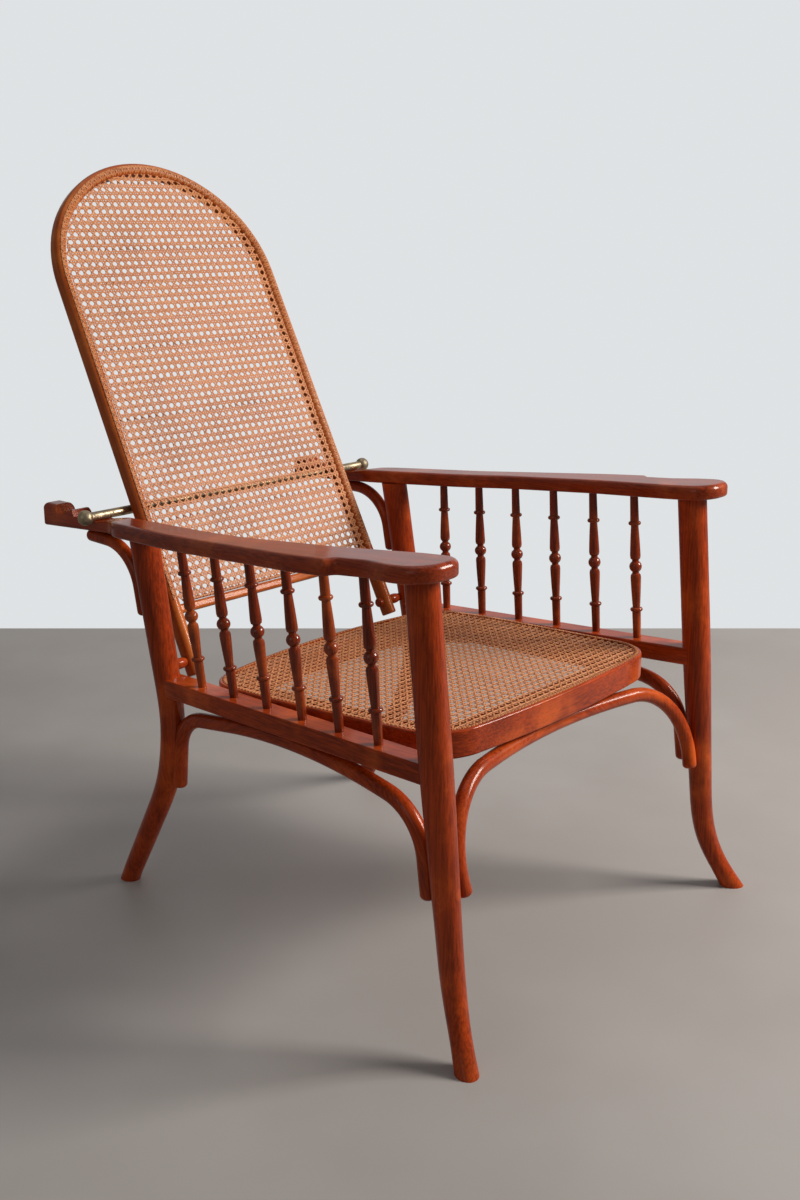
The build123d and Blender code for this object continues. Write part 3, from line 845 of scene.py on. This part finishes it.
@dataclass
class CanePanel:
    """Woven cane inside a rounded outline, modelled flat and then set in its place."""

    name: str
    node: str
    body: str
    arcs: tuple[OutlineArc, ...]
    low: Point
    high: Point
    surface: float
    place: Matrix
    trim_depth: float = 0.04
    weave: Weave = Weave()

    def build(self, finish: bpy.types.Material) -> bpy.types.Object:
        """Weave, trim and place the panel.

        Args:
            finish: its material.

        Returns:
            The finished panel.
        """
        block = self._trimming_block()
        families = [self._straight_family(upright, layer) for upright, layer in self.weave.stack]
        families += [self._diagonal_family(way) for way in (1, -1)]
        for number, (family, angle) in enumerate(families):
            self._trim(family, block)
            self._lay_by_hand(family, angle, number)
        bpy.data.objects.remove(block)
        panel = joined([family for family, angle in families], self.name)
        settle(panel, self.place, finish, self.body)
        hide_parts(self.node)
        return panel

    def _size(self) -> Point:
        """Find how wide and how tall the panel is."""
        return self.high[0] - self.low[0], self.high[1] - self.low[1]

    def _middle(self) -> Point:
        """Find the middle of the panel."""
        return (self.low[0] + self.high[0]) / 2, (self.low[1] + self.high[1]) / 2

    def _pairs(self) -> tuple[int, int]:
        """Count the pairs of strands that run up the panel and across it.

        Returns:
            Both counts, with the spare pairs that the outline trims away.
        """
        wide, tall = self._size()
        columns, rows = int(wide / self.weave.pitch_across), int(tall / self.weave.pitch_along)
        return columns + self.weave.spare_pairs, rows + self.weave.spare_pairs

    def _trimming_block(self) -> bpy.types.Object:
        """Make the block whose sides are the panel's outline.

        Returns:
            The block.
        """
        spots = outline(self.arcs, 0.0)
        deselect()
        bpy.ops.mesh.primitive_circle_add(vertices=len(spots), fill_type="NGON")
        block = bpy.context.object
        for corner, (x, y) in zip(block.data.vertices, spots):
            corner.co = (x, y, -self.trim_depth / 2)
        bpy.ops.object.mode_set(mode="EDIT")
        bpy.ops.mesh.select_all(action="SELECT")
        upwards = {"value": (0, 0, self.trim_depth)}
        bpy.ops.mesh.extrude_region_move(TRANSFORM_OT_translate=upwards)
        bpy.ops.mesh.select_all(action="SELECT")
        bpy.ops.mesh.normals_make_consistent(inside=False)
        bpy.ops.object.mode_set(mode="OBJECT")
        return block

    def _strand(self, length: float, width: float, cuts: int) -> bpy.types.Object:
        """Model one split strand along X, flat below and rounded above."""
        size = (length, width, self.weave.strand_thickness)
        return rounded_bar(self.name + "_strand", size, Axis.X, STRAND_TOP, cuts)

    def _straight_family(self, upright: bool, layer: float) -> Family:
        """Lay straight strands over the whole panel.

        Args:
            upright: whether they run up the panel and not across it.
            layer: their height in the stack, in layers from its middle.

        Returns:
            The strands and the angle along them.
        """
        weave = self.weave
        wide, tall = self._size()
        columns, rows = self._pairs()
        if upright:
            length, count, pitch = tall, columns, weave.pitch_across
        else:
            length, count, pitch = wide, rows, weave.pitch_along
        cuts = int(length / weave.cut_pitch)
        strand = self._strand(length + pitch, weave.strand_width, cuts)
        first = math.copysign(weave.pair_gap / 2, layer) - (count - 1) / 2 * pitch
        x, y = self._middle()
        height = self.surface + layer * weave.strand_thickness * weave.layer_share
        if upright:
            turn_selected(QUARTER_TURN)
            start, step, angle = (x + first, y, height), (pitch, 0, 0), QUARTER_TURN
        else:
            start, step, angle = (x, y + first, height), (0, pitch, 0), 0.0
        leave_at(*start)
        row_of(strand, count, step)
        return strand, angle

    def _diagonal_family(self, way: int) -> Family:
        """Lay diagonal strands that pass over one pair and under the next.

        Args:
            way: 1 for strands that rise to the right, -1 for those that rise to the left.

        Returns:
            The strands and the angle along them.
        """
        weave = self.weave
        half = math.hypot(weave.pitch_across, weave.pitch_along) / 2
        angle = math.atan2(weave.pitch_along, weave.pitch_across) * way
        columns, rows = self._pairs()
        links = rows * 2
        end = -links * half / 2
        strand = self._strand(links * half, weave.diagonal_width, links - 1)
        for parity, side in ((0, way), (1, -way)):
            select_parts(Parts.VERTS, lambda vert: round((vert.co.x - end) / half) % 2 == parity)
            bpy.ops.transform.translate(value=(0, 0, side * weave.wave))
        bpy.ops.mesh.select_all(action="SELECT")
        turn_selected(-angle)
        # The strands cross midway between pairs, so even and odd counts start differently
        gaps = columns + rows + 1
        gaps += gaps % 2
        x, y = self._middle()
        x += weave.pitch_across / 2 * (1 if columns % 2 else 2) - gaps / 2 * weave.pitch_across
        y += 0.0 if rows % 2 else weave.pitch_along / 2
        leave_at(x, y, self.surface)
        row_of(strand, gaps + 1, (weave.pitch_across, 0, 0))
        return strand, angle

    def _trim(self, family: bpy.types.Object, block: bpy.types.Object) -> None:
        """Cut a family of strands to the panel's outline.

        Args:
            family: the strands.
            block: the block whose sides are the outline.
        """
        cut = family.modifiers.new("outline", "BOOLEAN")
        cut.operation = "INTERSECT"
        cut.solver = "MANIFOLD"
        cut.object = block
        apply_modifiers(family)

    def _lay_by_hand(self, family: bpy.types.Object, angle: float, number: int) -> None:
        """Mark the fibres of a family and let its strands wander a little.

        Args:
            family: the strands.
            angle: direction that they run in.
            number: number of the family.
        """
        weave = self.weave
        spots = mark_fibres(family, angle, number)
        x, y = spots[:, 0], spots[:, 1]
        lift = weave.ripple_z.read(x, y, number)
        x += weave.wander * weave.ripple_x.read(y, x, number)
        y += weave.wander * weave.ripple_y.read(x, y, number)
        spots[:, 2] += weave.lift * lift
        family.data.vertices.foreach_set("co", spots.ravel())


@dataclass(frozen=True)
class Stitch:
    """One stitch of a binding: its place as a share of the repeat, its lean and its length."""

    share: float
    lean: float
    reach: float


@dataclass
class CaneBinding:
    """Narrow strip of cane along an edge, crossed by stitches whose ends go down beside it."""

    name: str
    body: str
    spots: list[Point]
    closed: bool
    height: float
    place: Matrix
    pitch: float = 0.0065
    width: float = 0.0026
    thickness: float = 0.0007
    stitches: tuple[Stitch, ...] = (Stitch(0.28, 0.35, 0.0064), Stitch(0.76, -0.28, 0.0052))
    stitch_width: float = 0.0017
    stitch_thickness: float = 0.0006
    stitch_height: float = 0.00055
    stitch_cuts: int = 3
    end_share: float = 0.4
    end_drop: float = 0.0009
    family: int = 9

    def build(self, finish: bpy.types.Material) -> bpy.types.Object:
        """Model one repeat of the strip and lay it along its line.

        Args:
            finish: its material.

        Returns:
            The finished binding.
        """
        size = (self.pitch, self.width, self.thickness)
        strip = rounded_bar(self.name, size, Axis.X, STRIP_TOP, 0)
        leave_at(self.pitch / 2, 0, 0)
        binding = joined([strip] + [self._sew(stitch) for stitch in self.stitches], self.name)
        lay_along(binding, self.pitch, self.spots, self.height, self.closed)
        mark_fibres(binding, 0.0, self.family)
        settle(binding, self.place, finish, self.body)
        return binding

    def _sew(self, stitch: Stitch) -> bpy.types.Object:
        """Model one stitch.

        Args:
            stitch: its place, lean and length.

        Returns:
            The stitch.
        """
        size = (self.stitch_width, stitch.reach, self.stitch_thickness)
        sewn = rounded_bar(self.name + "_stitch", size, Axis.Y, STRIP_TOP, self.stitch_cuts)
        select_parts(Parts.VERTS, lambda vert: abs(vert.co.y) > stitch.reach * self.end_share)
        bpy.ops.transform.translate(value=(0, 0, -self.end_drop))
        bpy.ops.mesh.select_all(action="SELECT")
        turn_selected(stitch.lean)
        leave_at(stitch.share * self.pitch, 0, self.stitch_height)
        return sewn


@dataclass
class RailEdging:
    """Band of woven cane that lies over the rounded front of the bow's rail.

    Runs go along the rail, and their places are shares of half the band's width. Each crossing
    has its place as a share of the repeat, its lean and its layer above the runs.
    """

    name: str
    body: str
    spots: list[Point]
    outset: float
    place: Matrix
    pitch: float = 0.0118
    width: float = 0.0108
    strand_width: float = 0.0017
    strand_thickness: float = 0.00045
    layer_share: float = 0.8
    rail_width: float = 0.019
    rail_round: float = 0.009
    rail_front: float = 0.012
    runs: tuple[float, ...] = (-0.88, -0.5, 0.4, 0.86)
    run_cuts: int = 1
    crossings: tuple[Triple, ...] = (
        (0.13, 0.0, 1.0),
        (0.36, 0.0, 1.0),
        (0.74, 0.66, 2.0),
        (0.74, -0.66, 2.0),
    )
    crossing_cuts: int = 7
    family: int = 8

    def build(self, finish: bpy.types.Material) -> bpy.types.Object:
        """Model one repeat of the band, curve it to the rail and lay it along the rail.

        Args:
            finish: its material.

        Returns:
            The finished edging.
        """
        strands = [self._run(share * self.width / 2) for share in self.runs]
        strands += [self._crossing(share, lean, layer) for share, lean, layer in self.crossings]
        band = joined(strands, self.name)
        for corner in band.data.vertices:
            corner.co.z += self._crown(self.outset - corner.co.y)
        lay_along(band, self.pitch, self.spots, 0.0, False)
        mark_fibres(band, 0.0, self.family)
        settle(band, self.place, finish, self.body)
        return band

    def _crown(self, out: float) -> float:
        """Find the height of the rail's rounded front, some way out from its inner side."""
        corner = max(self.rail_round - min(out, self.rail_width - out), 0.0)
        return self.rail_front - self.rail_round + math.sqrt(self.rail_round**2 - corner**2)

    def _strand(self, length: float, cuts: int) -> bpy.types.Object:
        """Model one split strand along X, flat below and rounded above."""
        size = (length, self.strand_width, self.strand_thickness)
        return rounded_bar(self.name + "_strand", size, Axis.X, STRAND_TOP, cuts)

    def _height(self, layer: float) -> float:
        """Find the height of a layer."""
        return self.strand_thickness * self.layer_share * (layer + 1)

    def _run(self, aside: float) -> bpy.types.Object:
        """Lay a strand along the rail.

        Args:
            aside: how far it lies from the middle of the band.

        Returns:
            The strand.
        """
        strand = self._strand(self.pitch, self.run_cuts)
        leave_at(self.pitch / 2, aside, self._height(0.0))
        return strand

    def _crossing(self, share: float, lean: float, layer: float) -> bpy.types.Object:
        """Lay a strand over the rail.

        Args:
            share: where along the repeat it crosses.
            lean: how far it is turned from straight across.
            layer: layer above the runs.

        Returns:
            The strand.
        """
        strand = self._strand(self.width / math.cos(lean), self.crossing_cuts)
        turn_selected(QUARTER_TURN + lean)
        leave_at(share * self.pitch, 0, self._height(layer))
        return strand


SEAT_ARCS = (
    OutlineArc((0.0, 1.7485), 1.7385, 264.24, 275.76, 10),
    OutlineArc((0.16847, 0.07848), 0.060, 275.76, 357.68, 14),
    OutlineArc((-0.25272, 0.30443), 0.490, -2.32, 4.05, 4),
    OutlineArc((0.18327, 0.3765), 0.050, 4.05, 77.24, 12),
    OutlineArc((0.0, -0.43266), 0.87966, 77.24, 102.76, 12),
    OutlineArc((-0.18327, 0.3765), 0.050, 102.76, 175.95, 12),
    OutlineArc((0.25272, 0.30443), 0.490, 175.95, 182.32, 4),
    OutlineArc((-0.16847, 0.07848), 0.060, 182.32, 264.24, 14),
)
BACK_ARCS = (
    OutlineArc((0.18352, 0.0925), 0.012, -90.0, 0.8, 5),
    OutlineArc((0.03437, 0.56642), 0.15434, 0.8, 41.24, 10),
    OutlineArc((0.0, 0.5363), 0.20004, 41.24, 138.76, 22),
    OutlineArc((-0.03437, 0.56642), 0.15434, 138.76, 179.2, 10),
    OutlineArc((-0.18352, 0.0925), 0.012, 179.2, 270.0, 5),
)


@dataclass
class CaneWork:
    """Both woven panels of the chair, with their bindings and the edging of the bow's rail."""

    finish: SplitCane = SplitCane(
        name="split_cane",
        straw=(0.53, 0.18, 0.055),
        pale=(0.64, 0.262, 0.1),
        brown=(0.31, 0.095, 0.026),
    )
    seat_surface: float = -0.00125
    seat_binding_outset: float = 0.0032
    seat_binding_height: float = 0.0004
    back_surface: float = 0.00825
    back_binding_height: float = 0.0099
    back_binding_half: float = 0.19
    rail_outset: float = 0.0064
    post_start: float = 0.09
    crossbar_top: float = 0.0832

    def build(self) -> list[bpy.types.Object]:
        """Weave the seat and the back and edge them."""
        material = self.finish.material()
        return [piece.build(material) for piece in (*self.seat(), *self.back())]

    def seat(self) -> tuple[CanePanel, CaneBinding]:
        """Plan the seat's cane.

        Returns:
            Its panel, and its binding on the ring.
        """
        panel = CanePanel(
            name="woven_seat_cane",
            node="seat_cane",
            body="chair_frame",
            arcs=SEAT_ARCS,
            low=(-0.2425, 0.008),
            high=(0.2425, 0.449),
            surface=self.seat_surface,
            place=SEAT_PLACE,
        )
        binding = CaneBinding(
            name="seat_binding",
            body="chair_frame",
            spots=outline(SEAT_ARCS, -self.seat_binding_outset),
            closed=True,
            height=self.seat_binding_height,
            place=SEAT_PLACE,
        )
        return panel, binding

    def back(self) -> tuple[CanePanel, RailEdging, CaneBinding]:
        """Plan the back's cane.

        Returns:
            Its panel, its edging on the rail, and its binding above the crossbar.
        """
        panel = CanePanel(
            name="woven_back_cane",
            node="back_cane",
            body="back",
            arcs=BACK_ARCS,
            low=(-0.1975, 0.0795),
            high=(0.1975, 0.738),
            surface=self.back_surface,
            place=BACK_PLACE,
        )
        rail = outline(BACK_ARCS, -self.rail_outset)
        edging = RailEdging(
            name="back_edging",
            body="back",
            spots=[spot for spot in rail if spot[1] > self.post_start],
            outset=self.rail_outset,
            place=BACK_PLACE,
        )
        half, top = self.back_binding_half, self.crossbar_top
        binding = CaneBinding(
            name="back_binding",
            body="back",
            spots=[(-half, top), (half, top)],
            closed=False,
            height=self.back_binding_height,
            place=BACK_PLACE,
        )
        return panel, edging, binding


Finish = Union[StainedBeech, AgedMetal]


@dataclass
class WoodAndMetal:
    """Finishes of the pieces that keep their CAD shapes."""

    turned: StainedBeech = StainedBeech(
        name="turned_beech",
        shade=(0.075, 0.0095, 0.003),
        body=(0.25, 0.031, 0.006),
        light=(0.5, 0.095, 0.016),
        gloss=0.2,
        varnish=0.65,
    )
    red: StainedBeech = StainedBeech(
        name="red_beech",
        shade=(0.15, 0.016, 0.0035),
        body=(0.42, 0.049, 0.0065),
        light=(0.67, 0.112, 0.014),
    )
    dark: StainedBeech = StainedBeech(
        name="dark_beech",
        shade=(0.12, 0.013, 0.004),
        body=(0.33, 0.041, 0.0085),
        light=(0.56, 0.115, 0.022),
        varnish=0.42,
    )
    light: StainedBeech = StainedBeech(
        name="light_beech",
        shade=(0.25, 0.042, 0.008),
        body=(0.45, 0.094, 0.016),
        light=(0.6, 0.17, 0.034),
        varnish=0.16,
    )
    brass: AgedMetal = AgedMetal(
        name="old_brass",
        bright=(0.5, 0.39, 0.235),
        dull=(0.27, 0.215, 0.145),
        spots=(0.085, 0.062, 0.042),
        smoothness=0.32,
    )
    steel: AgedMetal = AgedMetal(
        name="old_steel",
        bright=(0.42, 0.39, 0.35),
        dull=(0.25, 0.22, 0.19),
        spots=(0.09, 0.05, 0.03),
        smoothness=0.34,
    )

    def choices(self) -> dict[str, tuple[Finish, Optional[Grain]]]:
        """List the finish of each kind of node by the start of its name.

        Returns:
            Each finish, with the way of the fibres where it is wood.
        """
        return {
            "front_leg": (self.red, Grain.UPRIGHT),
            "rear_leg": (self.red, Grain.UPRIGHT),
            "rear_brace": (self.red, Grain.UPRIGHT),
            "spindle": (self.turned, Grain.UPRIGHT),
            "pivot": (self.red, Grain.ACROSS),
            "armrest": (self.dark, Grain.DEEP),
            "side_rail": (self.red, Grain.DEEP),
            "side_arch": (self.red, Grain.SIDE_ARCH),
            "front_arch": (self.red, Grain.FRONT_ARCH),
            "seat_ring": (self.red, Grain.RING),
            "back_bow": (self.light, Grain.LEANING_BOW),
            "back_crossbar": (self.light, Grain.ACROSS),
            "recline_rod": (self.brass, None),
            "rod_ball": (self.brass, None),
            "arch_screws": (self.steel, None),
            "brace_screws": (self.steel, None),
            "seat_screws": (self.steel, None),
        }

    def dress(self) -> None:
        """Give each CAD node its finish."""
        made: dict[tuple[str, Optional[Grain]], bpy.types.Material] = {}
        for node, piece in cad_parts.items():
            for start, (finish, grain) in self.choices().items():
                if not node.startswith(start):
                    continue
                key = (finish.name, grain)
                if key not in made:
                    made[key] = finish.material(grain) if grain else finish.material()
                for slot in piece.material_slots:
                    slot.material = made[key]
                log.info("%s: %s", node, made[key].name)


@dataclass(frozen=True)
class SoftBox:
    """One large soft lamp, in metres and watts."""

    name: str
    position: Triple
    target: Triple
    width: float
    height: float
    power: float
    tint: Colour = (1.0, 1.0, 1.0)

    def build(self) -> None:
        """Hang the lamp so that it faces its target."""
        data = bpy.data.lights.new(self.name, "AREA")
        data.shape = "RECTANGLE"
        data.size = self.width
        data.size_y = self.height
        data.energy = self.power
        data.color = self.tint
        lamp = bpy.data.objects.new(self.name, data)
        lamp.location = self.position
        way = Vector(self.target) - Vector(self.position)
        lamp.rotation_euler = way.to_track_quat("-Z", "Y").to_euler()
        lamp.visible_camera = False
        bpy.context.scene.collection.objects.link(lamp)


LAMPS = (
    SoftBox("key_light", (1.7, -2.0, 2.0), (0, 0, 0.4), 1.1, 1.1, 118.0, (1.0, 0.97, 0.93)),
    SoftBox("fill_light", (-2.8, -0.2, 1.7), (0, 0, 0.5), 1.6, 1.6, 5.0, (0.93, 0.96, 1.0)),
    SoftBox("top_light", (0.4, 0.4, 3.1), (0, 0, 0.4), 2.2, 2.2, 10.0),
    SoftBox("rear_light", (1.9, 1.65, 1.35), (0, 0, 0.7), 3.4, 2.0, 9.0, (0.96, 0.98, 1.0)),
)


@dataclass
class Studio:
    """Floor, sky light, lamps and camera, in metres and degrees, and millimetres for the lens."""

    floor_size: float = 5.4
    floor_ahead: float = 3.19
    sky: Colour = (0.86, 0.885, 0.90)
    sky_strength: float = 0.22
    backdrop_strength: float = 0.86
    camera_place: Triple = (-1.4231, -1.3263, 0.9607)
    camera_turn: float = 48.8
    camera_drop: float = 15.6
    lens: float = 42.0
    long_side: float = 36.0

    def build(self) -> None:
        """Set up everything round the chair."""
        self._floor()
        self._sky()
        for lamp in LAMPS:
            lamp.build()
        self._camera()

    def _floor(self) -> None:
        """Lay the floor, which ends behind the chair, straight across the camera's view."""
        deselect()
        bpy.ops.mesh.primitive_plane_add(size=self.floor_size)
        floor = bpy.context.object
        floor.name = "floor"
        bpy.ops.object.mode_set(mode="EDIT")
        bpy.ops.transform.translate(value=(0, self.floor_ahead - self.floor_size / 2, 0))
        turn_selected(math.radians(self.camera_turn))
        leave_at(self.camera_place[0], self.camera_place[1], 0)
        floor.data.materials.append(StudioFloor().material())

    def _sky(self) -> None:
        """Light the studio evenly, and show the camera a brighter backdrop."""
        world = bpy.data.worlds.new("studio_sky")
        world.use_nodes = True
        tree = world.node_tree
        light = tree.nodes["Background"]
        backdrop = tree.nodes.new("ShaderNodeBackground")
        seen = tree.nodes.new("ShaderNodeLightPath")
        choice = tree.nodes.new("ShaderNodeMixShader")
        shaders = ((light, self.sky_strength), (backdrop, self.backdrop_strength))
        for number, (shader, strength) in enumerate(shaders, start=1):
            shader.inputs["Color"].default_value = opaque(self.sky)
            shader.inputs["Strength"].default_value = strength
            tree.links.new(shader.outputs["Background"], choice.inputs[number])
        tree.links.new(seen.outputs["Is Camera Ray"], choice.inputs["Fac"])
        tree.links.new(choice.outputs["Shader"], tree.nodes["World Output"].inputs["Surface"])
        bpy.context.scene.world = world
        bpy.context.scene.view_settings.view_transform = "Standard"

    def _camera(self) -> None:
        """Put the camera where the photograph was taken from."""
        data = bpy.data.cameras.new("camera")
        data.lens = self.lens
        data.sensor_width = self.long_side
        camera = bpy.data.objects.new("camera", data)
        camera.location = self.camera_place
        tilt, turn = math.radians(90 - self.camera_drop), math.radians(-self.camera_turn)
        camera.rotation_euler = (tilt, 0, turn)
        bpy.context.scene.collection.objects.link(camera)
        bpy.context.scene.camera = camera


def main() -> None:
    """Build the studio, dress the CAD pieces and weave the cane, in that order."""
    logging.basicConfig(level=logging.INFO, format="%(message)s")
    Studio().build()
    WoodAndMetal().dress()
    for piece in CaneWork().build():
        log.info("%s: %d faces", piece.name, len(piece.data.polygons))


if __name__ == "__main__":
    main()
